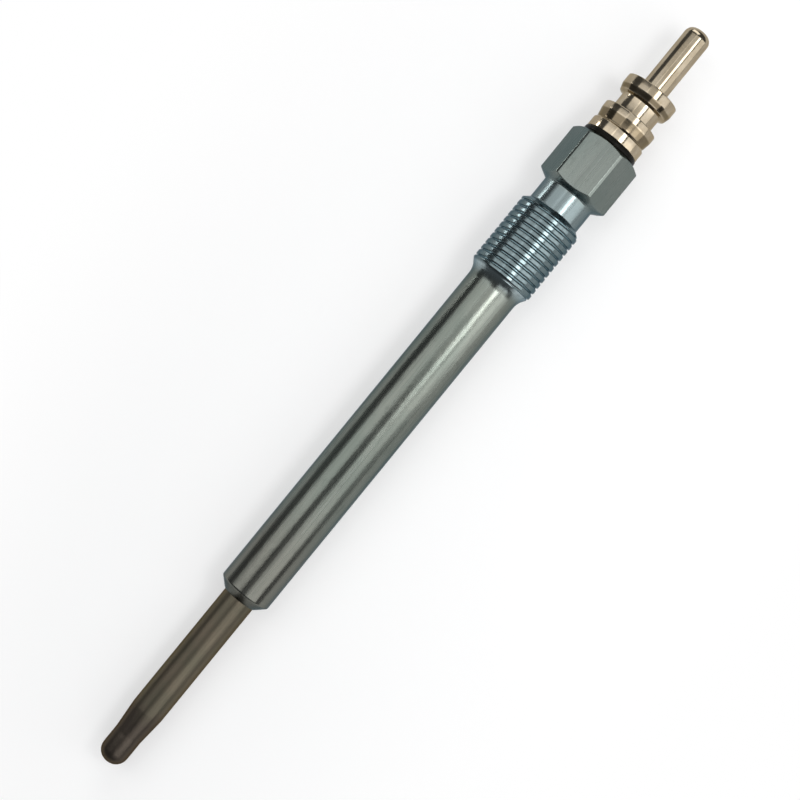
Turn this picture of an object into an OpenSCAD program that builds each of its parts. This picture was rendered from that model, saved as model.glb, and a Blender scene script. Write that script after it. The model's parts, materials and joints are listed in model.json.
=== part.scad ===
// Diesel glow plug with a sheathed heating element, an M10 thread and a round-pin terminal.
// Each piece is drawn upright on the plug's axis, with heights measured up from the glow tip.
// The finished plug is then laid on its side, the way it comes to rest on a bench.

/* [Glow tube] */
// Outer diameter of the tube
tube_d = 4.9; // [4.4:0.1:5.9]
// Outer diameter of the reduced tip
tip_d = 4.2; // [3.5:0.1:4.3]
// Length of the reduced tip, with its round end
tip_len = 4.8; // [4:0.2:8]
// Diameter of the small flat left at the end of the tip
tip_flat_d = 0.4; // [0.2:0.1:0.8]
// Length of the taper from the tip to the full tube
taper_len = 4.2; // [1.6:0.1:6]
// Blend radius at both ends of the taper
taper_blend = 3; // [1:0.5:5]
// Length of tube that stands out of the body
tube_exposed = 29.4; // [24:0.2:36]
// Length of tube inside the body
tube_held = 18.6; // [15:0.2:24]
// Wall thickness of the tube
tube_wall = 0.5; // [0.4:0.05:0.6]
// Thickness of the welded end
tip_wall = 0.8; // [0.6:0.1:1]

/* [Coils] */
// Wire diameter of the heating coil
heating_wire_d = 0.4; // [0.4:0.02:0.5]
// Turns of the heating coil
heating_turns = 9; // [6:1:12]
// Wire diameter of the control coil
control_wire_d = 0.36; // [0.3:0.02:0.38]
// Turns of the control coil
control_turns = 16; // [8:1:20]
// Rise of both coils in one turn
coil_pitch = 0.75; // [0.6:0.05:0.9]
// Insulation between the heating coil and the wall of the tip
coil_gap = 0.2; // [0.1:0.05:0.3]
// Straight wire from the welded end up to the first bend
coil_leg = 0.8; // [0.4:0.1:1.6]
// Height in which the wire winds out from the axis to the coil
coil_lead = 1.4; // [1.2:0.1:2]
// Turns of the control coil that grip the connecting pin
grip_turns = 2; // [1:1:4]

/* [Body] */
// Width of the flat ring between the tube and the sealing cone
cone_land = 0.2; // [0.1:0.05:0.4]
// Included angle of the sealing cone
cone_angle = 93; // [60:1:110]
// Edge rounding where the cone meets the barrel
cone_round = 0.35; // [0.1:0.05:0.5]
// Diameter of the barrel
barrel_d = 8; // [7:0.1:9.6]
// Length of the barrel above the cone
barrel_len = 54.5; // [40:0.5:70]
// Radius of the hollow sweep from the barrel to the root of the thread
sweep_radius = 3; // [1:0.5:6]
// Diameter over the crests of the thread
thread_d = 9.9; // [9.7:0.02:11.9]
// Pitch of the thread
thread_pitch = 1; // [0.75:0.25:1.25]
// Length of the lead chamfer below the thread
thread_lead = 0.9; // [0.5:0.1:1.5]
// Length of the thread at full diameter
thread_len = 10.8; // [8:0.2:16]
// Length of the run-out chamfer above the thread
thread_runout = 0.7; // [0.4:0.1:1.2]
// Diameter of the neck between thread and hexagon
neck_d = 8.2; // [7.4:0.1:9]
// Length of the neck
neck_len = 3.4; // [2:0.2:6]
// Width across the flats of the hexagon
hex_af = 10; // [9.6:0.1:12]
// Height of the hexagon
hex_h = 8.6; // [6.6:0.2:12]
// How far the corners of the hexagon are turned down
hex_corner_cut = 0.12; // [0.05:0.01:0.2]
// How far the round end face stays inside the flats
hex_land_inset = 0.25; // [0.1:0.05:0.4]
// Angle of the chamfers on the hexagon, from the end face
hex_chamfer = 30; // [20:1:35]
// Length of the bore that holds the tube
press_len = 14; // [10:0.5:15]
// Gap around the free end of the tube and around the connecting pin
bore_gap = 0.25; // [0.1:0.05:0.3]
// Diameter of the counterbore in the hexagon
counterbore_d = 6.6; // [6.5:0.1:7.8]

/* [Seals] */
// Length of the heater seal inside the tube
seal_len = 4; // [2:0.5:6]
// Thickness of the seal's flange on the end of the tube
seal_flange_h = 0.8; // [0.5:0.1:1.5]
// Free play of the o-ring on each side
o_ring_fit = 0.01; // [0.01:0.01:0.05]

/* [Connecting pin] */
// Diameter of the pin's stem inside the tube
stem_d = 2.2; // [2:0.05:2.6]
// Diameter of the pin's shaft above the tube
shaft_d = 3; // [2.7:0.1:3.6]
// Free play between the pin's spigot and the control coil
spigot_fit = 0.06; // [0.05:0.01:0.1]
// Gap between the pin and the powder pressed round it
powder_fit = 0.02; // [0.01:0.01:0.03]
// Chamfer on the pin's upper end
shaft_chamfer = 0.3; // [0.1:0.1:0.6]
// Gap above the pin's end inside the terminal
shaft_end_gap = 0.1; // [0.05:0.05:0.5]

/* [Insulating washer] */
// Diameter of the washer's flange
washer_d = 8.8; // [8:0.1:9.4]
// Thickness of the washer's flange
washer_h = 0.9; // [0.6:0.1:1.6]
// Rounding of the flange's rim
washer_round = 0.3; // [0.1:0.05:0.4]
// Length of the washer's spigot in the counterbore
washer_spigot = 3.2; // [2:0.2:4]
// Free play between the washer and the connecting pin
washer_fit = 0.05; // [0.02:0.01:0.1]

/* [Terminal] */
// Diameter of the two collars beside the rolled groove
collar_d = 8.6; // [8:0.1:10.3]
// Height of the lower collar
lower_collar_h = 1.5; // [1:0.1:2]
// Width of the rolled groove
rolled_w = 1.8; // [1.4:0.1:2]
// Height of the groove's deepest line above its lower edge
rolled_low = 0.5; // [0.4:0.05:0.7]
// Depth of the rolled groove
rolled_depth = 0.3; // [0.2:0.05:0.5]
// Depth to which the rolled groove presses the bore into the connecting pin
crimp_depth = 0.15; // [0.1:0.01:0.2]
// Width of the ridge pressed into the connecting pin
crimp_w = 1; // [0.8:0.1:1.2]
// Height of the upper collar
upper_collar_h = 1; // [0.8:0.1:2]
// Diameter of the snap groove that the connector's spring closes on
snap_d = 6.4; // [5.6:0.1:7]
// Width of the snap groove at its floor
snap_w = 2.85; // [2:0.05:4]
// Height of the flank from the snap groove out to the head
flank_h = 0.55; // [0.3:0.05:1]
// Diameter of the head above the snap groove
head_d = 8.4; // [8:0.1:10]
// Height of the head's rim
head_h = 1.5; // [1:0.1:2.2]
// Diameter of the contact pin
contact_d = 4; // [3.5:0.1:4.8]
// Length of the contact pin
contact_len = 10.85; // [8:0.05:13]
// Rounding of the contact pin's end
contact_round = 1.2; // [0.6:0.1:1.6]
// Depth of the blind bore that takes the connecting pin
blind_len = 6.7; // [5:0.1:7.2]
// Rounding of the terminal's edges
edge_round = 0.1; // [0.05:0.01:0.15]

/* [Hidden] */
$fn = 96;
// Degrees of arc for each straight piece of a rounded outline
arc_step = 10;
// Rings of points in one turn of a wire, and points in one ring
wire_steps = 10;
wire_sides = 6;
// Sides of the round faces of the powder, which lie inside those of the tube
powder_fn = 48;
// Part of a turn over which the direction of a wire is taken
wire_delta = 0.001;
// Height of thread between crest and root, for one millimetre of pitch
thread_depth_ratio = 0.6134;
// Length by which a cut runs past the face it opens
over = 1;

// Radii
tube_r = tube_d / 2;
tip_r = tip_d / 2;
tube_bore_r = tube_r - tube_wall;
tip_bore_r = tip_r - tube_wall;
barrel_r = barrel_d / 2;
thread_r = thread_d / 2;
neck_r = neck_d / 2;
bore_r = tube_r + bore_gap;
counterbore_r = counterbore_d / 2;
stem_r = stem_d / 2;
shaft_r = shaft_d / 2;
contact_r = contact_d / 2;
cone_small_r = tube_r + cone_land;
root_r = max(thread_r - thread_depth_ratio * thread_pitch, barrel_r);
hex_corner_r = hex_af / 2 / cos(30) - hex_corner_cut;
hex_land_r = hex_af / 2 - hex_land_inset;
coil_r = tip_bore_r - coil_gap - heating_wire_d / 2;
spigot_r = (coil_r - control_wire_d / 2) * cos(180 / wire_steps) - spigot_fit;
tip_round = tip_r - tip_flat_d / 2;

// Heights of the glow tube and what is inside it
tube_top = tube_exposed + tube_held;
powder_top = tube_top - seal_len;
seal_top = tube_top + seal_flange_h;
coil_z = tip_wall + coil_leg + coil_lead;
coil_turns = heating_turns + control_turns;
coil_top = coil_z + coil_turns * coil_pitch;
spigot_z = coil_top - grip_turns * coil_pitch - control_wire_d / 2;
stem_z = coil_top + control_wire_d / 2 + spigot_fit;

// Heights of the body
barrel_z = tube_exposed + (barrel_r - cone_small_r) / tan(cone_angle / 2);
sweep_z = barrel_z + barrel_len;
sweep_angle = acos(1 - (root_r - barrel_r) / sweep_radius);
root_z = sweep_z + sweep_radius * sin(sweep_angle);
thread_z = root_z + thread_lead;
runout_z = thread_z + thread_len;
neck_z = runout_z + thread_runout;
hex_z = neck_z + neck_len;
hex_top = hex_z + hex_h;
press_top = tube_exposed + press_len;
washer_foot = hex_top - washer_spigot;
counterbore_z = washer_foot - (counterbore_r - shaft_r);

// Heights of the terminal
terminal_z = hex_top + washer_h;
rolled_z = terminal_z + lower_collar_h;
snap_z = rolled_z + rolled_w + upper_collar_h;
flank_z = snap_z + snap_w;
head_z = flank_z + flank_h;
contact_z = head_z + head_h;
overall_len = contact_z + contact_len;
blind_top = terminal_z + blind_len;
shaft_top = blind_top - shaft_end_gap;

// At rest the plug lies on the lower edge of its barrel and on the first thing above that stops it,
// either the start of the thread or a flat of the hexagon
rest_z = barrel_z + cone_round * tan(cone_angle / 4);
hex_flat_z = hex_z + (hex_af / 2 - neck_r) * tan(hex_chamfer);
lie = max(atan((thread_r - barrel_r) / (thread_z - rest_z)),
          atan((hex_af / 2 - barrel_r) / (hex_flat_z - rest_z)));
rest_h = barrel_r * cos(lie) - rest_z * sin(lie);
tip_x = tip_round * (cos(lie) - 1);
contact_x = (overall_len - contact_round) * cos(lie) + (contact_r - contact_round) * sin(lie) + contact_round;

// Lays an upright piece down, with the middle of the plug above the origin
module lying() {
    translate([-(tip_x + contact_x) / 2, 0, rest_h])
        rotate([0, 90 - lie, 0])
            children();
}

// Corner b of an outline between points a and c, as an arc of the given radius
function corner(a, b, c, radius) =
    radius == 0 ? [b] :
    let (
        u = (a - b) / norm(a - b),
        v = (c - b) / norm(c - b),
        half = acos(u * v) / 2,
        centre = b + (u + v) / norm(u + v) * radius / sin(half),
        from = b + u * radius / tan(half) - centre,
        to = b + v * radius / tan(half) - centre,
        start = atan2(from.y, from.x),
        turn = atan2(from.x * to.y - from.y * to.x, from * to),
        steps = ceil(abs(turn) / arc_step)
    )
    [for (i = [0 : steps]) centre + radius * [cos(start + turn * i / steps), sin(start + turn * i / steps)]];

// Point i of a closed outline given as [radius, height, rounding]
function spot(points, i) = let (p = points[(i + len(points)) % len(points)]) [p.x, p.y];

function outline(points) =
    [for (i = [0 : len(points) - 1])
        each corner(spot(points, i - 1), spot(points, i), spot(points, i + 1), points[i].z)];

module turned(points) {
    rotate_extrude()
        polygon(outline(points));
}

// A soft groove in a surface of the given radius, read upwards from its lower edge at height foot.
// Its deepest line lies low above that edge, and its floor is rounded over half of the lower flank.
function soft_groove(radius, foot, width, low, depth) =
    let (half = (atan(low / depth) + atan((width - low) / depth)) / 2)
    [[radius, foot, 0],
     [radius - depth, foot + low, norm([low, depth]) / 2 * tan(half)],
     [radius, foot + width, 0]];

// The groove where the terminal is pressed into the connecting pin
crimp = soft_groove(shaft_r, rolled_z + rolled_low - crimp_w / 2, crimp_w, crimp_w / 2, crimp_depth);

// Inside of the glow tube up to a given height
function tube_bore(top) =
    [[0, tip_wall, 0],
     [tip_bore_r, tip_wall, tip_round - tip_wall],
     [tip_bore_r, tip_len, 0],
     [tube_bore_r, tip_len + taper_len, 0],
     [tube_bore_r, top, 0],
     [0, top, 0]];

// Centre line of the coil wire. Turn 0 is the start of the coil, and the turn before it is the lead.
function wire_point(turn) =
    let (
        out = min(turn + 1, 1),
        radius = coil_r * out * out * (3 - 2 * out),
        height = coil_z + coil_pitch * turn - (coil_lead - coil_pitch) * pow(1 - out, 2)
    )
    [radius * cos(360 * turn), radius * sin(360 * turn), height];

// Ring of points round the wire at a given turn
function wire_ring(turn, wire_r) =
    let (
        step = wire_point(turn + wire_delta) - wire_point(turn - wire_delta),
        along = step / norm(step),
        outward = [cos(360 * turn), sin(360 * turn), 0],
        square_on = outward - (outward * along) * along,
        first = square_on / norm(square_on),
        second = cross(along, first)
    )
    [for (i = [0 : wire_sides - 1])
        wire_point(turn) + wire_r * (cos(360 * i / wire_sides) * first + sin(360 * i / wire_sides) * second)];

// Ring of points on the axis at a given height, where the straight leg of the wire ends
function foot_ring(height, wire_r) =
    [for (i = [0 : wire_sides - 1])
        [wire_r * cos(360 * i / wire_sides), wire_r * sin(360 * i / wire_sides), height]];

// Closed wire through a list of rings
module wire(rings) {
    last = len(rings) - 1;
    polyhedron(
        points = [for (ring = rings) each ring],
        faces = [
            [for (i = [0 : wire_sides - 1]) i],
            for (k = [0 : last - 1], i = [0 : wire_sides - 1])
                let (a = k * wire_sides + i, b = k * wire_sides + (i + 1) % wire_sides)
                each [[a, a + wire_sides, b + wire_sides], [a, b + wire_sides, b]],
            [for (i = [wire_sides - 1 : -1 : 0]) last * wire_sides + i]
        ]
    );
}

// Both coils follow one centre line, so the second starts on the end face of the first
function heating_rings(foot) =
    [foot_ring(foot, heating_wire_d / 2),
     for (k = [-wire_steps : heating_turns * wire_steps]) wire_ring(k / wire_steps, heating_wire_d / 2)];

function control_rings() =
    [for (k = [heating_turns * wire_steps : coil_turns * wire_steps])
        wire_ring(k / wire_steps, control_wire_d / 2)];

// Room that the pin takes up in the powder
module pin_room() {
    turned([
        [0, spigot_z - powder_fit, 0],
        [spigot_r + powder_fit, spigot_z - powder_fit, 0],
        [spigot_r + powder_fit, stem_z - powder_fit, 0],
        [stem_r + powder_fit, stem_z - powder_fit, 0],
        [stem_r + powder_fit, powder_top + over, 0],
        [0, powder_top + over, 0]
    ]);
}

// Hollow sweep that lifts the barrel to the root of the thread
function sweep_points() =
    let (steps = ceil(2 * sweep_angle / arc_step))
    [for (i = [0 : steps])
        let (a = sweep_angle * i / steps)
        [barrel_r + sweep_radius * (1 - cos(a)), sweep_z + sweep_radius * sin(a), 0]];

// Turned blank of the body, before its flats and its bore are cut
module body_blank() {
    turned([
        [0, tube_exposed, 0],
        [cone_small_r, tube_exposed, 0],
        [barrel_r, barrel_z, cone_round],
        each sweep_angle > 0 ? sweep_points() : [[barrel_r, sweep_z, 0]],
        [thread_r, thread_z, 0],
        [thread_r, runout_z, 0],
        [neck_r, neck_z, 0],
        [neck_r, hex_z, 0],
        [hex_corner_r, hex_z + (hex_corner_r - neck_r) * tan(hex_chamfer), 0],
        [hex_corner_r, hex_top - (hex_corner_r - hex_land_r) * tan(hex_chamfer), 0],
        [hex_land_r, hex_top, 0],
        [0, hex_top, 0]
    ]);
}

// What is milled away round the hexagon, with one flat facing the bench
module hex_waste() {
    translate([0, 0, hex_z])
        linear_extrude(hex_h)
            difference() {
                circle(r = hex_corner_r + over);
                rotate(30)
                    circle(d = hex_af / cos(30), $fn = 6);
            }
}

module body_bore() {
    turned([
        [0, tube_exposed - over, 0],
        [tube_r, tube_exposed - over, 0],
        [tube_r, press_top, 0],
        [bore_r, press_top + bore_gap, 0],
        [bore_r, counterbore_z, 0],
        [counterbore_r, counterbore_z, 0],
        [counterbore_r, hex_top + over, 0],
        [0, hex_top + over, 0]
    ]);
}

module plug_body() {
    color("lightsteelblue") lying() difference() {
        body_blank();
        hex_waste();
        body_bore();
    }
}

module glow_tube() {
    color("#7a6f58") lying() difference() {
        turned([
            [0, 0, 0],
            [tip_r, 0, tip_round],
            [tip_r, tip_len, taper_blend],
            [tube_r, tip_len + taper_len, taper_blend],
            [tube_r, tube_top, 0],
            [0, tube_top, 0]
        ]);
        turned(tube_bore(tube_top + over));
    }
}

module heating_coil() {
    color("dimgray") lying() wire(heating_rings(tip_wall));
}

module control_coil() {
    color("slategray") lying() wire(control_rings());
}

// The powder fills the tube round the pin and between all turns of both coils.
// One channel takes both wires and opens at the welded end.
// A resize to its own size keeps this filling as one fine mesh.
module insulating_powder() {
    color("ivory") lying() resize([0, 0, 0]) difference() {
        turned(tube_bore(powder_top), $fn = powder_fn);
        pin_room($fn = powder_fn);
        wire(concat(heating_rings(tip_wall - over), control_rings()));
    }
}

module heater_seal() {
    color("#3a3a3a") lying() turned([
        [stem_r, powder_top, 0],
        [tube_bore_r, powder_top, 0],
        [tube_bore_r, tube_top, 0],
        [tube_r, tube_top, 0],
        [tube_r, seal_top, 0],
        [stem_r, seal_top, 0]
    ]);
}

module connecting_pin() {
    color("silver") lying() turned([
        [0, spigot_z, 0],
        [spigot_r, spigot_z, 0],
        [spigot_r, stem_z, 0],
        [stem_r, stem_z, 0],
        [stem_r, seal_top, 0],
        [shaft_r, seal_top, 0],
        each crimp,
        [shaft_r, shaft_top - shaft_chamfer, 0],
        [shaft_r - shaft_chamfer, shaft_top, 0],
        [0, shaft_top, 0]
    ]);
}

module o_ring() {
    ring_r = (counterbore_r - shaft_r) / 2 - o_ring_fit;
    color("#202020") lying()
        translate([0, 0, (counterbore_z + washer_foot) / 2])
            rotate_extrude()
                translate([(counterbore_r + shaft_r) / 2, 0])
                    circle(r = ring_r);
}

module insulating_washer() {
    washer_r = washer_d / 2;
    washer_bore_r = shaft_r + washer_fit;
    color("#14120c") lying() turned([
        [washer_bore_r, washer_foot, 0],
        [counterbore_r, washer_foot, 0],
        [counterbore_r, hex_top, 0],
        [washer_r, hex_top, washer_round],
        [washer_r, terminal_z, washer_round],
        [washer_bore_r, terminal_z, 0]
    ]);
}

module terminal() {
    collar_r = collar_d / 2;
    snap_r = snap_d / 2;
    head_r = head_d / 2;
    color("#c9b48c") lying() turned([
        [shaft_r, terminal_z, 0],
        [collar_r, terminal_z, edge_round],
        each soft_groove(collar_r, rolled_z, rolled_w, rolled_low, rolled_depth),
        [collar_r, snap_z, edge_round],
        [snap_r, snap_z, edge_round],
        [snap_r, flank_z, edge_round],
        [head_r, head_z, edge_round],
        [head_r, contact_z, edge_round],
        [contact_r, contact_z, edge_round],
        [contact_r, overall_len, contact_round],
        [0, overall_len, 0],
        [0, blind_top, 0],
        [shaft_r, blind_top, 0],
        crimp[2],
        crimp[1],
        crimp[0]
    ]);
}

plug_body();
glow_tube();
heating_coil();
control_coil();
insulating_powder();
heater_seal();
connecting_pin();
o_ring();
insulating_washer();
terminal();
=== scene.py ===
"""Looks of a diesel glow plug: finer meshes with a real thread, plated finishes, studio light and camera."""
import json
import math

import bmesh
import bpy
import numpy as np
from mathutils import Matrix, Vector


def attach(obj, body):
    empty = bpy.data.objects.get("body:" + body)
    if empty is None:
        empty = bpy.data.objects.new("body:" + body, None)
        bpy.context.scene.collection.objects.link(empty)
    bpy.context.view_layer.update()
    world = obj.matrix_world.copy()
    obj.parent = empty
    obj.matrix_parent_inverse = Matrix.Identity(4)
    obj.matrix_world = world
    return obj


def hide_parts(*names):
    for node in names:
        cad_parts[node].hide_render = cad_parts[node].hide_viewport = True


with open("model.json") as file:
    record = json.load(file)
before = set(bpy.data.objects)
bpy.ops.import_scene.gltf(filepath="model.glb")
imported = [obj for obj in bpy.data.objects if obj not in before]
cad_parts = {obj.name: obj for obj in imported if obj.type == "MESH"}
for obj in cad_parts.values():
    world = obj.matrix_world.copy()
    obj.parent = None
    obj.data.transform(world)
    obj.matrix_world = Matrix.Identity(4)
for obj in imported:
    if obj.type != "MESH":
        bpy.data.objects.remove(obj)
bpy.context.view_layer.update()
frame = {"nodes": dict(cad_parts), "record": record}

MM = 0.001

# Sizes of the plug, in millimetres
# A name that ends in Z, TOP or FOOT is a station, which is a distance from the glow tip along the axis.
# EDGE is the rounding of a turned edge.
EDGE = 0.12

# Glow tube
TUBE_R = 2.45
TUBE_WALL = 0.5
TUBE_TOP = 48.0
TIP_R = 2.1
TIP_LEN = 4.8
TIP_ROUND = 1.9
TIP_WALL = 0.8
TAPER_LEN = 4.2
TAPER_TOP = TIP_LEN + TAPER_LEN
TAPER_BLEND = 3.0

# Barrel, with a cone at its foot and a hollow sweep up to the thread
CONE_SMALL_R = 2.65
CONE_LEN = 1.281
CONE_ROUND = 0.35
CONE_Z = 29.4
BARREL_R = 4.0
BARREL_LEN = 54.5
BARREL_Z = CONE_Z + CONE_LEN
SWEEP_RADIUS = 3.0
SWEEP_Z = BARREL_Z + BARREL_LEN

# Thread, with its lead-in and run-out, and the neck above it
THREAD_R = 4.95
THREAD_PITCH = 1.0
THREAD_DEPTH = 0.33
THREAD_LEN = 10.8
THREAD_CREST_W = 0.64
THREAD_FLANK_W = 0.15
THREAD_BLUR = 0.07
LEAD_DEPTH = 0.613
SWEEP_AND_LEAD_LEN = 2.281
RUNOUT_LEN = 0.7
ROOT_R = THREAD_R - LEAD_DEPTH
SWEEP_ANGLE = math.acos(1 - (ROOT_R - BARREL_R) / SWEEP_RADIUS)
ROOT_Z = SWEEP_Z + SWEEP_RADIUS * math.sin(SWEEP_ANGLE)
THREAD_Z = SWEEP_Z + SWEEP_AND_LEAD_LEN
RUNOUT_Z = THREAD_Z + THREAD_LEN
NECK_R = 4.1
NECK_LEN = 3.4
NECK_Z = RUNOUT_Z + RUNOUT_LEN

# Hexagon, with its corners turned down and both ends bevelled
HEX_SIDES = 6
HEX_SIDE_ANGLE = 2 * math.pi / HEX_SIDES
HEX_AF = 10.0
HEX_LEN = 8.6
HEX_CORNER_R = 5.6535
HEX_LAND_R = 4.75
HEX_SLOPE = math.tan(math.radians(30))
HEX_EDGE = 0.15
HEX_Z = NECK_Z + NECK_LEN
HEX_TOP = HEX_Z + HEX_LEN

# Bore of the body
BORE_R = 2.7
PRESS_LEN = 14.0
PRESS_TOP = CONE_Z + PRESS_LEN
COUNTERBORE_R = 3.3
COUNTERBORE_DEPTH = 5.0
COUNTERBORE_Z = HEX_TOP - COUNTERBORE_DEPTH

# Black washer, which is plugged into the counterbore
WASHER_R = 4.4
WASHER_LEN = 0.9
WASHER_ROUND = 0.3
WASHER_BORE_R = 1.55
WASHER_PLUG = 3.2
WASHER_FOOT = HEX_TOP - WASHER_PLUG

# Terminal: a collar with a rolled groove, a snap groove, a head and the contact pin
# A name that ends in UP is a height above the terminal's foot.
TERMINAL_Z = HEX_TOP + WASHER_LEN
COLLAR_R = 4.3
COLLAR_LEN = 4.3
ROLLED_UP = 1.5
ROLLED_W = 1.8
ROLLED_LOW = 0.3
ROLLED_DEPTH = 0.3
ROLLED_Z = TERMINAL_Z + ROLLED_UP
SNAP_R = 3.2
SNAP_LEN = 2.338
SNAP_Z = TERMINAL_Z + COLLAR_LEN
FLANK_LEN = 0.2
FLANK_Z = SNAP_Z + SNAP_LEN
SHOULDER_R = 3.9
SHOULDER_LEN = 0.95
SHOULDER_Z = FLANK_Z + FLANK_LEN
HEAD_R = 4.2
HEAD_Z = SHOULDER_Z + SHOULDER_LEN
CONTACT_R = 2.0
CONTACT_LEN = 10.85
CONTACT_ROUND = 1.2
CONTACT_UP = 9.2
CONTACT_Z = TERMINAL_Z + CONTACT_UP
OVERALL = CONTACT_Z + CONTACT_LEN

# Blind hole in the terminal, crimped on to the pin inside it
SHAFT_R = 1.5
CRIMP_W = 1.0
CRIMP_DEPTH = 0.15
BLIND_DEPTH = 6.7
BLIND_TOP = TERMINAL_Z + BLIND_DEPTH

# Fineness of the meshes, with the merging distance in metres
ARC_SEGMENTS = 6
ROUND_COLUMNS = 160
FLAT_COLUMNS = 36
CORNER_COLUMNS = 6
THREAD_ROWS = 16
BLUR_STEPS = 7
MERGE = 1e-7
SHARP_ANGLE = math.radians(65)

# The plug's own frame: X down to the bench, Y to the side, Z from the glow tip to the terminal
thread_mount = next(m for m in frame["record"]["mounts"] if m["name"] == "thread")
along = -Vector(thread_mount["axis"])
side = Vector((0, 1, 0))
down = side.cross(along)
plug_frame = Matrix((down, side, along)).transposed().to_4x4()
plug_frame.translation = Vector(thread_mount["pos_m"]) - along * (THREAD_Z + RUNOUT_Z) / 2 * MM


def on_axis(station):
    """Place of a station on the plug's axis, in metres."""
    return plug_frame @ Vector((0, 0, station * MM))


# Outlines, as lists of radius and height in millimetres
def rounded(points):
    """An outline of (radius, height, rounding) points with its corners turned into arcs."""
    out = []
    for i, (r, z, rounding) in enumerate(points):
        if rounding == 0:
            out.append((r, z))
            continue
        corner = Vector((r, z))
        back = (Vector(points[i - 1][:2]) - corner).normalized()
        ahead = (Vector(points[(i + 1) % len(points)][:2]) - corner).normalized()
        half = math.acos(back.dot(ahead)) / 2
        centre = corner + (back + ahead).normalized() * rounding / math.sin(half)
        start = corner + back * rounding / math.tan(half) - centre
        end = corner + ahead * rounding / math.tan(half) - centre
        turn = math.atan2(start.x * end.y - start.y * end.x, start.dot(end))
        first = math.atan2(start.y, start.x)
        for k in range(ARC_SEGMENTS + 1):
            a = first + turn * k / ARC_SEGMENTS
            out.append((centre.x + rounding * math.cos(a), centre.y + rounding * math.sin(a)))
    return out


def soft_groove(radius, foot, width, low, depth):
    """Corner points of a shallow groove from its lower edge up, deepest at a height low above that edge."""
    half = (math.atan(low / depth) + math.atan((width - low) / depth)) / 2
    return [
        (radius, foot, EDGE),
        (radius - depth, foot + low, math.hypot(low, depth) / 2 * math.tan(half)),
        (radius, foot + width, EDGE),
    ]


def hex_columns():
    """Angles round the hexagon from the middle of a flat, closer together at its turned corners."""
    flat_end = math.acos(HEX_AF / 2 / HEX_CORNER_R)
    angles = []
    for k in range(HEX_SIDES):
        middle = k * HEX_SIDE_ANGLE
        angles += list(middle + np.linspace(-flat_end, flat_end, FLAT_COLUMNS + 1))
        angles += list(middle + np.linspace(flat_end, HEX_SIDE_ANGLE - flat_end, CORNER_COLUMNS + 1)[1:-1])
    return sorted(a % (2 * math.pi) for a in angles)


def hex_radius(angle):
    """Radius of the hexagon with its corners turned down, with a flat at angle 0."""
    off = (angle + HEX_SIDE_ANGLE / 2) % HEX_SIDE_ANGLE - HEX_SIDE_ANGLE / 2
    return min(HEX_AF / 2 / math.cos(off), HEX_CORNER_R)


def thread_height(phase):
    """Height of the thread above its root, 0 to 1, with softly rolled crests and roots."""
    heights = []
    for shift in np.linspace(-THREAD_BLUR, THREAD_BLUR, BLUR_STEPS):
        off = abs((phase + shift) % 1 - 0.5) * THREAD_PITCH
        heights.append(min(max(1 - (off - THREAD_CREST_W / 2) / THREAD_FLANK_W, 0), 1))
    return sum(heights) / len(heights)


def thread_rows(angle):
    """Outline of the thread at one angle. Each row follows the helix, and rows pile up at both ends."""
    turns = (NECK_Z - ROOT_Z) / THREAD_PITCH + 1
    out = []
    for i in range(math.ceil(turns * THREAD_ROWS) + 1):
        phase = i / THREAD_ROWS
        lift = phase + angle / (2 * math.pi) - 1
        z = min(max(ROOT_Z + lift * THREAD_PITCH, ROOT_Z), NECK_Z)
        blank = np.interp(z, (ROOT_Z, THREAD_Z, RUNOUT_Z, NECK_Z), (ROOT_R, THREAD_R, THREAD_R, NECK_R))
        out.append((min(blank, THREAD_R - THREAD_DEPTH * (1 - thread_height(phase))), z))
    return out


def sweep_rows():
    """Hollow sweep from the barrel up to the start of the thread."""
    out = []
    for a in np.linspace(0, SWEEP_ANGLE, 2 * ARC_SEGMENTS):
        out.append((BARREL_R + SWEEP_RADIUS * (1 - math.cos(a)), SWEEP_Z + SWEEP_RADIUS * math.sin(a)))
    return out


def body_outline(angle):
    """Closed outline of the body at one angle, up the outside and down the bore."""
    flat = hex_radius(angle)
    lower = rounded([
        (TUBE_R, CONE_Z, 0),
        (CONE_SMALL_R, CONE_Z, EDGE / 2),
        (BARREL_R, BARREL_Z, CONE_ROUND),
        (BARREL_R, SWEEP_Z, 0),
    ])
    upper = rounded([
        (NECK_R, NECK_Z, 0),
        (NECK_R, NECK_Z + EDGE, 0),
        (NECK_R, HEX_Z, 2 * HEX_EDGE),
        (flat, HEX_Z + (flat - NECK_R) * HEX_SLOPE, HEX_EDGE),
        (flat, HEX_TOP - (flat - HEX_LAND_R) * HEX_SLOPE, HEX_EDGE / 2),
        (HEX_LAND_R, HEX_TOP, HEX_EDGE / 2),
        (COUNTERBORE_R, HEX_TOP, 0),
        (COUNTERBORE_R, COUNTERBORE_Z, 0),
        (BORE_R, COUNTERBORE_Z, 0),
        (BORE_R, PRESS_TOP + BORE_R - TUBE_R, 0),
        (TUBE_R, PRESS_TOP, 0),
    ])
    return lower + sweep_rows() + thread_rows(angle) + upper


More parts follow.
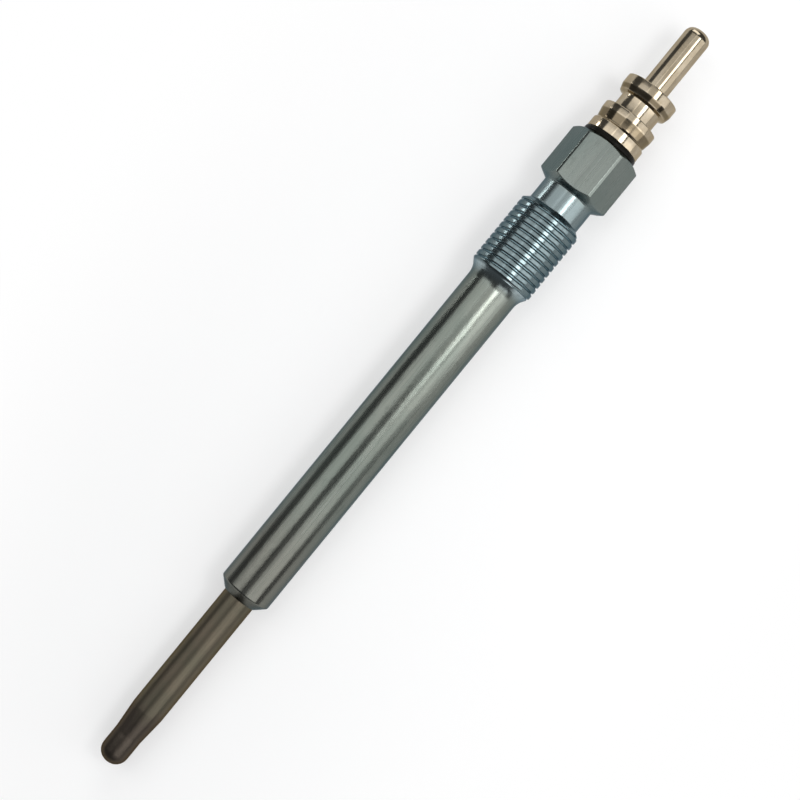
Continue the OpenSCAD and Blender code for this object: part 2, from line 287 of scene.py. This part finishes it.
# Meshes
def revolve(name, outlines, angles, closed):
    """A piece from one outline for each angle round the axis, the last angle being the first again."""
    verts = []
    for outline, angle in zip(outlines, angles):
        verts += [(r * math.cos(angle) * MM, r * math.sin(angle) * MM, z * MM) for r, z in outline]
    rows = len(outlines[0])
    faces = []
    for j in range(len(angles) - 1):
        here = j * rows
        there = here + rows
        for i in range(rows if closed else rows - 1):
            k = (i + 1) % rows
            faces.append((here + i, there + i, there + k, here + k))
    mesh = bpy.data.meshes.new(name)
    mesh.from_pydata(verts, [], faces)
    shell = bmesh.new()
    shell.from_mesh(mesh)
    bmesh.ops.remove_doubles(shell, verts=shell.verts, dist=MERGE)
    bmesh.ops.dissolve_degenerate(shell, edges=shell.edges, dist=MERGE)
    bmesh.ops.recalc_face_normals(shell, faces=shell.faces)
    shell.to_mesh(mesh)
    shell.free()
    mesh.shade_smooth()
    mesh.set_sharp_from_angle(angle=SHARP_ANGLE)
    piece = bpy.data.objects.new(name, mesh)
    bpy.context.scene.collection.objects.link(piece)
    piece.matrix_world = plug_frame
    piece.modifiers.new("even_normals", "WEIGHTED_NORMAL").keep_sharp = True
    return piece


def lathe(name, points, closed=False):
    """A turned piece from the (radius, height, rounding) points of its outline."""
    angles = np.linspace(0, 2 * math.pi, ROUND_COLUMNS + 1)
    return revolve(name, [rounded(points)] * len(angles), angles, closed)


def make_body():
    """Body with barrel, rolled thread, neck and hexagon, bored right through."""
    angles = hex_columns() + [2 * math.pi]
    return revolve("body", [body_outline(a) for a in angles], angles, closed=True)


def make_tube():
    """Closed tube with a narrower, round tip, up its outside and down its inside."""
    return lathe("tube", [
        (0, 0, 0),
        (TIP_R, 0, TIP_ROUND),
        (TIP_R, TIP_LEN, TAPER_BLEND),
        (TUBE_R, TAPER_TOP, TAPER_BLEND),
        (TUBE_R, TUBE_TOP, EDGE),
        (TUBE_R - TUBE_WALL, TUBE_TOP, EDGE),
        (TUBE_R - TUBE_WALL, TAPER_TOP, 0),
        (TIP_R - TUBE_WALL, TIP_LEN, 0),
        (TIP_R - TUBE_WALL, TIP_WALL, TIP_ROUND - TIP_WALL),
        (0, TIP_WALL, 0),
    ])


def make_washer():
    """Collar between hexagon and terminal, with its plug in the counterbore."""
    return lathe("washer", [
        (WASHER_BORE_R, WASHER_FOOT, 0),
        (COUNTERBORE_R, WASHER_FOOT, EDGE),
        (COUNTERBORE_R, HEX_TOP, 0),
        (WASHER_R, HEX_TOP, WASHER_ROUND),
        (WASHER_R, TERMINAL_Z, WASHER_ROUND),
        (WASHER_BORE_R, TERMINAL_Z, 0),
    ], closed=True)


def make_terminal():
    """Round-pin terminal, down its crimped blind hole and up its outside."""
    crimp = soft_groove(SHAFT_R, ROLLED_Z + ROLLED_LOW - CRIMP_W / 2, CRIMP_W, CRIMP_W / 2, CRIMP_DEPTH)
    return lathe("terminal_pin", [
        (0, BLIND_TOP, 0),
        (SHAFT_R, BLIND_TOP, 0),
        *[(r, z, 0) for r, z, rounding in reversed(crimp)],
        (SHAFT_R, TERMINAL_Z, 0),
        (COLLAR_R, TERMINAL_Z, EDGE),
        *soft_groove(COLLAR_R, ROLLED_Z, ROLLED_W, ROLLED_LOW, ROLLED_DEPTH),
        (COLLAR_R, SNAP_Z, EDGE),
        (SNAP_R, SNAP_Z, EDGE),
        (SNAP_R, FLANK_Z, EDGE),
        (SHOULDER_R, SHOULDER_Z, EDGE),
        (HEAD_R, HEAD_Z, EDGE),
        (HEAD_R, CONTACT_Z, EDGE),
        (CONTACT_R, CONTACT_Z, EDGE),
        (CONTACT_R, OVERALL, CONTACT_ROUND),
        (0, OVERALL, 0),
    ])


# Materials
# A name that ends in START or END is a stretch, which is a pair of stations between which a finish changes.
CRUST_END = (3, 9)
BURNT_END = (5, 13)
SOOT_END = (30.2, 30.9)
WARM_END = (33, 52)
BLUE_START = (84, 90)
BLUE_END = (101, 104)
THREAD_START = (85.5, 88)
THREAD_END = (97.5, 99.5)
HEX_START = (98, 102)
# Width of the soft edges of the painted shade on the terminal
PAINTED_SHADE_EDGE = 0.3
DUST_GAIN = 2.2
NOISE_ROUGHNESS = 0.6
NOISE_LOW = 0.3
NOISE_HIGH = 0.7
BLACK_TONE = (0.007, 0.0068, 0.0052, 1)
RUBBER_TONE = (0.02, 0.02, 0.02, 1)


class Finish:
    """A Principled material with procedural textures in the piece's own coordinates."""

    def __init__(self, name, **values):
        self.material = bpy.data.materials.new(name)
        self.material.use_nodes = True
        self.tree = self.material.node_tree
        self.shader = self.tree.nodes["Principled BSDF"]
        self.place = self.node("ShaderNodeTexCoord").outputs["Object"]
        for socket, value in values.items():
            self.shader.inputs[socket.replace("_", " ")].default_value = value

    def node(self, kind, **settings):
        """A new node of one kind, with its settings."""
        made = self.tree.nodes.new(kind)
        for key, value in settings.items():
            setattr(made, key, value)
        return made

    def feed(self, socket, source):
        """Sets an input to a constant, or links it to another node's output."""
        if isinstance(source, bpy.types.NodeSocket):
            self.tree.links.new(source, socket)
        else:
            socket.default_value = source

    def scaled_place(self, scale):
        """The piece's own coordinates times a scale in X, Y and Z."""
        mapping = self.node("ShaderNodeMapping")
        self.feed(mapping.inputs["Vector"], self.place)
        self.feed(mapping.inputs["Scale"], scale)
        return mapping.outputs["Vector"]

    def noise(self, grain, detail):
        """Noise whose features are about grain millimetres long in X, Y and Z."""
        texture = self.node("ShaderNodeTexNoise")
        self.feed(texture.inputs["Vector"], self.scaled_place([1 / (size * MM) for size in grain]))
        self.feed(texture.inputs["Scale"], 1.0)
        self.feed(texture.inputs["Detail"], detail)
        self.feed(texture.inputs["Roughness"], NOISE_ROUGHNESS)
        return texture.outputs["Fac"]

    def reach(self, scale):
        """Distance from the piece's own origin after scaling its X, Y and Z."""
        length = self.node("ShaderNodeVectorMath", operation="LENGTH")
        self.feed(length.inputs[0], self.scaled_place(scale))
        return length.outputs["Value"]

    def span(self, value, low, high, start=0, end=1):
        """Turns a value from low to high into one from start to end, softly at both ends."""
        ranged = self.node("ShaderNodeMapRange", interpolation_type="SMOOTHSTEP")
        self.feed(ranged.inputs["Value"], value)
        for socket, number in zip(("From Min", "From Max", "To Min", "To Max"), (low, high, start, end)):
            self.feed(ranged.inputs[socket], number)
        return ranged.outputs["Result"]

    def vary(self, pattern, start, end):
        """Turns most of a noise's range into numbers from start to end."""
        return self.span(pattern, NOISE_LOW, NOISE_HIGH, start, end)

    def station(self, stretch):
        """0 below a stretch of stations and 1 above it."""
        parts = self.node("ShaderNodeSeparateXYZ")
        self.feed(parts.inputs["Vector"], self.place)
        return self.span(parts.outputs["Z"], stretch[0] * MM, stretch[1] * MM)

    def fade(self, stretch, below, above):
        """One number below a stretch of stations and another above it."""
        return self.span(self.station(stretch), 0, 1, below, above)

    def maths(self, operation, first, second):
        """Two values put together, such as their product."""
        made = self.node("ShaderNodeMath", operation=operation)
        self.feed(made.inputs[0], first)
        self.feed(made.inputs[1], second)
        return made.outputs["Value"]

    def blend(self, factor, first, second):
        """A mix of two colours. Its sockets go by number, because others of that node share their names."""
        made = self.node("ShaderNodeMix", data_type="RGBA")
        self.feed(made.inputs[0], factor)
        self.feed(made.inputs[6], first)
        self.feed(made.inputs[7], second)
        return made.outputs[2]

    def bump(self, height, depth):
        """Raises the surface by a height of 0 to 1 times a depth in millimetres, over earlier bumps."""
        made = self.node("ShaderNodeBump")
        socket = self.shader.inputs["Normal"]
        if socket.is_linked:
            self.feed(made.inputs["Normal"], socket.links[0].from_socket)
        self.feed(made.inputs["Height"], height)
        self.feed(made.inputs["Distance"], depth * MM)
        self.feed(socket, made.outputs["Normal"])

    def colour(self, source):
        """Sets the shader's colour."""
        self.feed(self.shader.inputs["Base Color"], source)

    def rough(self, source):
        """Sets the shader's roughness."""
        self.feed(self.shader.inputs["Roughness"], source)


def zinc_finish():
    """Zinc plate, greenish on the barrel and bluer towards the hexagon, with stains, a sooty foot and
    painted light in the thread's roots.
    """
    finish = Finish("zinc_plate", Metallic=1.0, Specular_Tint=(0.4, 0.46, 0.5, 1))
    patches = finish.noise((5, 5, 14), detail=3)
    streaks = finish.noise((0.6, 0.6, 30), detail=5)
    mottle = finish.noise((0.9, 0.9, 2.2), detail=3)
    grain = finish.noise((0.12, 0.12, 0.3), detail=2)
    barrel = (0.142, 0.161, 0.142, 1)
    barrel_pale = (0.166, 0.18, 0.159, 1)
    barrel_warm = (0.162, 0.16, 0.14, 1)
    blue = (0.158, 0.193, 0.197, 1)
    thread_blue = (0.13, 0.168, 0.176, 1)
    root_painted_light = (0.42, 0.5, 0.52, 1)
    stain = (0.07, 0.078, 0.07, 1)
    soot = (0.04, 0.034, 0.026, 1)
    plate = finish.blend(finish.span(patches, 0.38, 0.62), barrel, barrel_pale)
    plate = finish.blend(finish.fade(WARM_END, below=0.8, above=0), plate, barrel_warm)
    to_hexagon = finish.fade(BLUE_END, below=1, above=0.25)
    plate = finish.blend(finish.maths("MULTIPLY", finish.station(BLUE_START), to_hexagon), plate, blue)
    to_neck = finish.fade(THREAD_END, below=1, above=0)
    on_thread = finish.maths("MULTIPLY", finish.station(THREAD_START), to_neck)
    plate = finish.blend(on_thread, plate, thread_blue)
    # Painted light: the thread's roots and flanks are painted much paler than its crests, which lifts the
    # shade in its grooves.
    radius = finish.reach((1 / MM, 1 / MM, 0))
    in_root = finish.span(radius, THREAD_R - THREAD_DEPTH, THREAD_R - EDGE / 2, start=1, end=0)
    plate = finish.blend(finish.maths("MULTIPLY", in_root, on_thread), plate, root_painted_light)
    streak_share = finish.fade(HEX_START, below=1, above=0.1)
    drawn = finish.maths("MULTIPLY", finish.span(streaks, 0.5, 0.75, end=0.3), streak_share)
    plate = finish.blend(drawn, plate, stain)
    plate = finish.blend(finish.span(mottle, 0.55, 0.8, end=0.35), plate, stain)
    finish.colour(finish.blend(finish.fade(SOOT_END, below=0.3, above=0), plate, soot))
    rolled_smooth = finish.maths("MULTIPLY", on_thread, -0.06)
    finish.rough(finish.maths("ADD", finish.vary(streaks, 0.2, 0.3), rolled_smooth))
    mottle_share = finish.fade(HEX_START, below=1, above=0.12)
    finish.bump(finish.maths("MULTIPLY", mottle, mottle_share), depth=0.021)
    finish.bump(grain, depth=0.0015)
    return finish.material


def tube_finish():
    """Matte brown nickel alloy, blackened and crusted towards the glow tip."""
    finish = Finish("tube_alloy", Metallic=1.0, Specular_Tint=(0.4, 0.36, 0.3, 1))
    patches = finish.noise((3, 3, 6), detail=4)
    streaks = finish.noise((0.5, 0.5, 14), detail=4)
    crust = finish.noise((0.5, 0.5, 0.6), detail=3)
    grain = finish.noise((0.1, 0.1, 0.16), detail=3)
    brown = (0.142, 0.12, 0.089, 1)
    olive = (0.12, 0.109, 0.08, 1)
    black = (0.092, 0.077, 0.063, 1)
    sheath = finish.blend(finish.span(patches, 0.35, 0.65), brown, olive)
    unburnt = finish.maths("ADD", finish.station(BURNT_END), finish.vary(patches, -0.2, 0.2))
    sheath = finish.blend(finish.span(unburnt, 0.1, 0.9), black, sheath)
    finish.colour(finish.blend(finish.span(streaks, 0.5, 0.8, end=0.4), sheath, black))
    finish.rough(finish.vary(streaks, 0.34, 0.46))
    crust_share = finish.fade(CRUST_END, below=1, above=0)
    finish.bump(finish.maths("MULTIPLY", crust, crust_share), depth=0.03)
    finish.bump(grain, depth=0.004)
    return finish.material


def nickel_finish():
    """Warm bright nickel plate with faint turning rings and painted shade in the rolled groove and on the
    shoulder.
    """
    finish = Finish("nickel_plate", Metallic=1.0, Specular_Tint=(0.7, 0.65, 0.55, 1))
    rings = finish.noise((6, 6, 0.1), detail=3)
    patches = finish.noise((2, 2, 3), detail=3)
    pale = (0.387, 0.331, 0.248, 1)
    deep = (0.322, 0.268, 0.191, 1)
    painted_shade = (0.1, 0.077, 0.046, 1)
    plate = finish.blend(finish.span(patches, 0.35, 0.65), pale, deep)
    # Painted shade: the rolled groove and the shoulder under the head are painted dark brown, where their
    # slopes would mirror darkness.
    for low, high in ((ROLLED_Z, ROLLED_Z + ROLLED_W), (SHOULDER_Z, HEAD_Z)):
        from_low = finish.station((low, low + PAINTED_SHADE_EDGE))
        to_high = finish.fade((high - PAINTED_SHADE_EDGE, high), below=0.8, above=0)
        plate = finish.blend(finish.maths("MULTIPLY", from_low, to_high), plate, painted_shade)
    finish.colour(plate)
    finish.rough(finish.vary(rings, 0.1, 0.17))
    finish.bump(rings, depth=0.0005)
    return finish.material


def plastic_finish(name, tone, gloss, rough_low, rough_high):
    """Black moulding with a dusty bloom."""
    finish = Finish(name, Specular_IOR_Level=gloss)
    bloom = finish.noise((0.8, 0.8, 0.8), detail=4)
    dusty = tuple(DUST_GAIN * c for c in tone[:3]) + (1,)
    finish.colour(finish.blend(finish.span(bloom, 0.5, 0.8, end=0.6), tone, dusty))
    finish.rough(finish.vary(bloom, rough_low, rough_high))
    finish.bump(bloom, depth=0.002)
    return finish.material


def wire_finish(name, tone, dark):
    """Drawn metal with lengthwise shading and a satin surface."""
    finish = Finish(name, Metallic=1.0)
    drawn = finish.noise((8, 0.3, 0.3), detail=3)
    finish.colour(finish.blend(finish.span(drawn, 0.35, 0.7), tone, dark))
    finish.rough(finish.vary(drawn, 0.25, 0.4))
    finish.bump(drawn, depth=0.001)
    return finish.material


def powder_finish():
    """Compacted magnesia with a crumbly surface."""
    finish = Finish("magnesia")
    crumbs = finish.noise((0.15, 0.15, 0.15), detail=5)
    white = (0.88, 0.86, 0.80, 1)
    grey = (0.70, 0.68, 0.62, 1)
    finish.colour(finish.blend(finish.vary(crumbs, 0, 1), white, grey))
    finish.rough(finish.vary(crumbs, 0.85, 1.0))
    finish.bump(crumbs, depth=0.025)
    return finish.material


# Pieces that stand for CAD nodes
def place_piece(piece, node, material):
    """Gives a piece its finish and lets it stand for a CAD node."""
    piece.data.materials.append(material)
    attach(piece, "root")
    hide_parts(node)


place_piece(make_body(), "plug_body", zinc_finish())
place_piece(make_tube(), "glow_tube", tube_finish())
place_piece(make_terminal(), "terminal", nickel_finish())
black_moulding = plastic_finish("black_plastic", BLACK_TONE, gloss=0.04, rough_low=0.25, rough_high=0.35)
place_piece(make_washer(), "insulating_washer", black_moulding)

# CAD nodes inside the plug, which keep their shapes
rubber = plastic_finish("seal_rubber", RUBBER_TONE, gloss=0.3, rough_low=0.6, rough_high=0.8)
coil_wire = wire_finish("coil_wire", tone=(0.42, 0.39, 0.36, 1), dark=(0.28, 0.25, 0.22, 1))
pin_steel = wire_finish("pin_steel", tone=(0.60, 0.58, 0.56, 1), dark=(0.45, 0.44, 0.42, 1))
INNER_FINISH = {
    "heating_coil": coil_wire,
    "control_coil": coil_wire,
    "insulating_powder": powder_finish(),
    "heater_seal": rubber,
    "connecting_pin": pin_steel,
    "o_ring": rubber,
}
for node, material in INNER_FINISH.items():
    for slot in frame["nodes"][node].material_slots:
        slot.material = material

# Camera, close above the middle of the plug and turned about its axis to the near side
# Its distance is in metres and its sensor's width in millimetres.
VIEW_ROLL = math.radians(6.3)
VIEW_DISTANCE = 0.24
FRAME_PIXELS = 800
PIXELS_PER_MM = 7.12
SENSOR = 36.0
# How the photograph shows the plug: the slope of its axis, the station under the camera,
# and where that station lies, in pixels from the middle of the frame
AXIS_SLOPE = math.radians(50.75)
VIEW_STATION = 65.2
VIEW_OFFSET = (0.8, -0.7)

back = -down * math.cos(VIEW_ROLL) - side * math.sin(VIEW_ROLL)
square = back.cross(along)
right = along * math.cos(AXIS_SLOPE) - square * math.sin(AXIS_SLOPE)
up = along * math.sin(AXIS_SLOPE) + square * math.cos(AXIS_SLOPE)
pixel = MM / PIXELS_PER_MM
target = on_axis(VIEW_STATION) - right * VIEW_OFFSET[0] * pixel - up * VIEW_OFFSET[1] * pixel
camera_data = bpy.data.cameras.new("camera")
camera_data.sensor_width = SENSOR
camera_data.lens = SENSOR * VIEW_DISTANCE / (FRAME_PIXELS * pixel)
camera = bpy.data.objects.new("camera", camera_data)
camera.matrix_world = Matrix((right, up, back)).transposed().to_4x4()
camera.matrix_world.translation = target + back * VIEW_DISTANCE
bpy.context.scene.collection.objects.link(camera)
bpy.context.scene.camera = camera

# Light
# A softbox has a roll about the plug's axis, in degrees from straight up towards the near side, a reach from
# the axis, and a low and a high end along it, in metres from the plug's middle.
TERMINAL_DIMMING = 0.65
SKY_TINT = (0.92, 0.96, 1.0, 1)
SKY_STRENGTH = 0.12


def softbox(name, roll, reach, low, high, width, radiance, face_middle=False):
    """An area light that runs along the plug and faces its axis, or is turned to face the plug's middle."""
    data = bpy.data.lights.new(name, "AREA")
    data.shape = "RECTANGLE"
    data.size = high - low
    data.size_y = width
    data.energy = math.pi * radiance * (high - low) * width
    roll = math.radians(roll)
    away = -down * math.cos(roll) - side * math.sin(roll)
    middle = on_axis(OVERALL / 2)
    place = middle + away * reach + along * (low + high) / 2
    facing = (place - middle).normalized() if face_middle else away
    across = facing.cross(along).normalized()
    lamp = bpy.data.objects.new(name, data)
    lamp.matrix_world = Matrix((across.cross(facing), across, facing)).transposed().to_4x4()
    lamp.matrix_world.translation = place
    lamp.visible_camera = False
    bpy.context.scene.collection.objects.link(lamp)


def parted_softbox(name, roll, reach, low, high, width, radiance):
    """A softbox with a dimmer stretch where the camera sees it in the terminal, whose nickel is brighter."""
    seam = (TERMINAL_Z - OVERALL / 2) * MM * (1 + reach / VIEW_DISTANCE)
    softbox(name, roll, reach, low, seam, width, radiance)
    softbox(name + "_end", roll, reach, seam, high, width, radiance * TERMINAL_DIMMING)


def make_light():
    """The softboxes and a faint sky."""
    parted_softbox("broad_light", roll=-31, reach=0.8, low=-0.18, high=0.3, width=0.65, radiance=1.7)
    parted_softbox("strip_light", roll=28, reach=0.3, low=0.02, high=0.17, width=0.075, radiance=9.5)
    parted_softbox("low_light", roll=65.5, reach=0.3, low=0.005, high=0.17, width=0.2485, radiance=2.5)
    parted_softbox("gap_light", roll=4, reach=0.3, low=0.01, high=0.17, width=0.183, radiance=1.5)
    softbox("near_light", roll=43, reach=0.8, low=-0.5, high=0.02, width=0.72, radiance=1.6)
    softbox("edge_light", roll=-86, reach=0.3, low=0.065, high=0.095, width=0.045, radiance=15.0)
    softbox(
        "key_light", roll=-40, reach=0.62, low=0.54, high=1.04, width=1.0, radiance=2.4, face_middle=True
    )
    world = bpy.data.worlds.new("studio")
    world.use_nodes = True
    sky = world.node_tree.nodes["Background"]
    sky.inputs["Color"].default_value = SKY_TINT
    sky.inputs["Strength"].default_value = SKY_STRENGTH
    bpy.context.scene.world = world


# Floor, white to the camera and in the metal
# Near the plug it glows less, so that the shadow stays in it. Its sizes are in metres.
FLOOR_HALF = 6.0
FLOOR_TONE = (0.95, 0.95, 0.95, 1)
FLOOR_ROUGHNESS = 0.9
SHADOW_HALF_LENGTH = 0.13
SHADOW_HALF_WIDTH = 0.06
SHADOW_CORE = 0.4
SHADOW_GLOW = 0.45


def make_floor():
    """A wide white floor that keeps the plug's shadow."""
    corners = [(-FLOOR_HALF, -FLOOR_HALF, 0), (FLOOR_HALF, -FLOOR_HALF, 0)]
    corners += [(FLOOR_HALF, FLOOR_HALF, 0), (-FLOOR_HALF, FLOOR_HALF, 0)]
    mesh = bpy.data.meshes.new("floor")
    mesh.from_pydata(corners, [], [(0, 1, 2, 3)])
    floor = bpy.data.objects.new("floor", mesh)
    bpy.context.scene.collection.objects.link(floor)
    finish = Finish("floor_white", Base_Color=FLOOR_TONE, Roughness=FLOOR_ROUGHNESS, Specular_IOR_Level=0.0)
    glow = finish.node("ShaderNodeEmission")
    path = finish.node("ShaderNodeLightPath")
    seen = finish.maths("MAXIMUM", path.outputs["Is Camera Ray"], path.outputs["Is Glossy Ray"])
    seen = finish.maths("MAXIMUM", seen, path.outputs["Is Transmission Ray"])
    away = finish.reach((1 / SHADOW_HALF_LENGTH, 1 / SHADOW_HALF_WIDTH, 0))
    share = finish.maths("MULTIPLY", seen, finish.span(away, SHADOW_CORE, 1, start=SHADOW_GLOW))
    mixed = finish.node("ShaderNodeMixShader")
    finish.feed(mixed.inputs["Fac"], share)
    finish.feed(mixed.inputs[1], finish.shader.outputs["BSDF"])
    finish.feed(mixed.inputs[2], glow.outputs["Emission"])
    output = finish.tree.nodes["Material Output"]
    finish.feed(output.inputs["Surface"], mixed.outputs["Shader"])
    mesh.materials.append(finish.material)


make_light()
make_floor()
bpy.context.scene.view_settings.view_transform = "Standard"
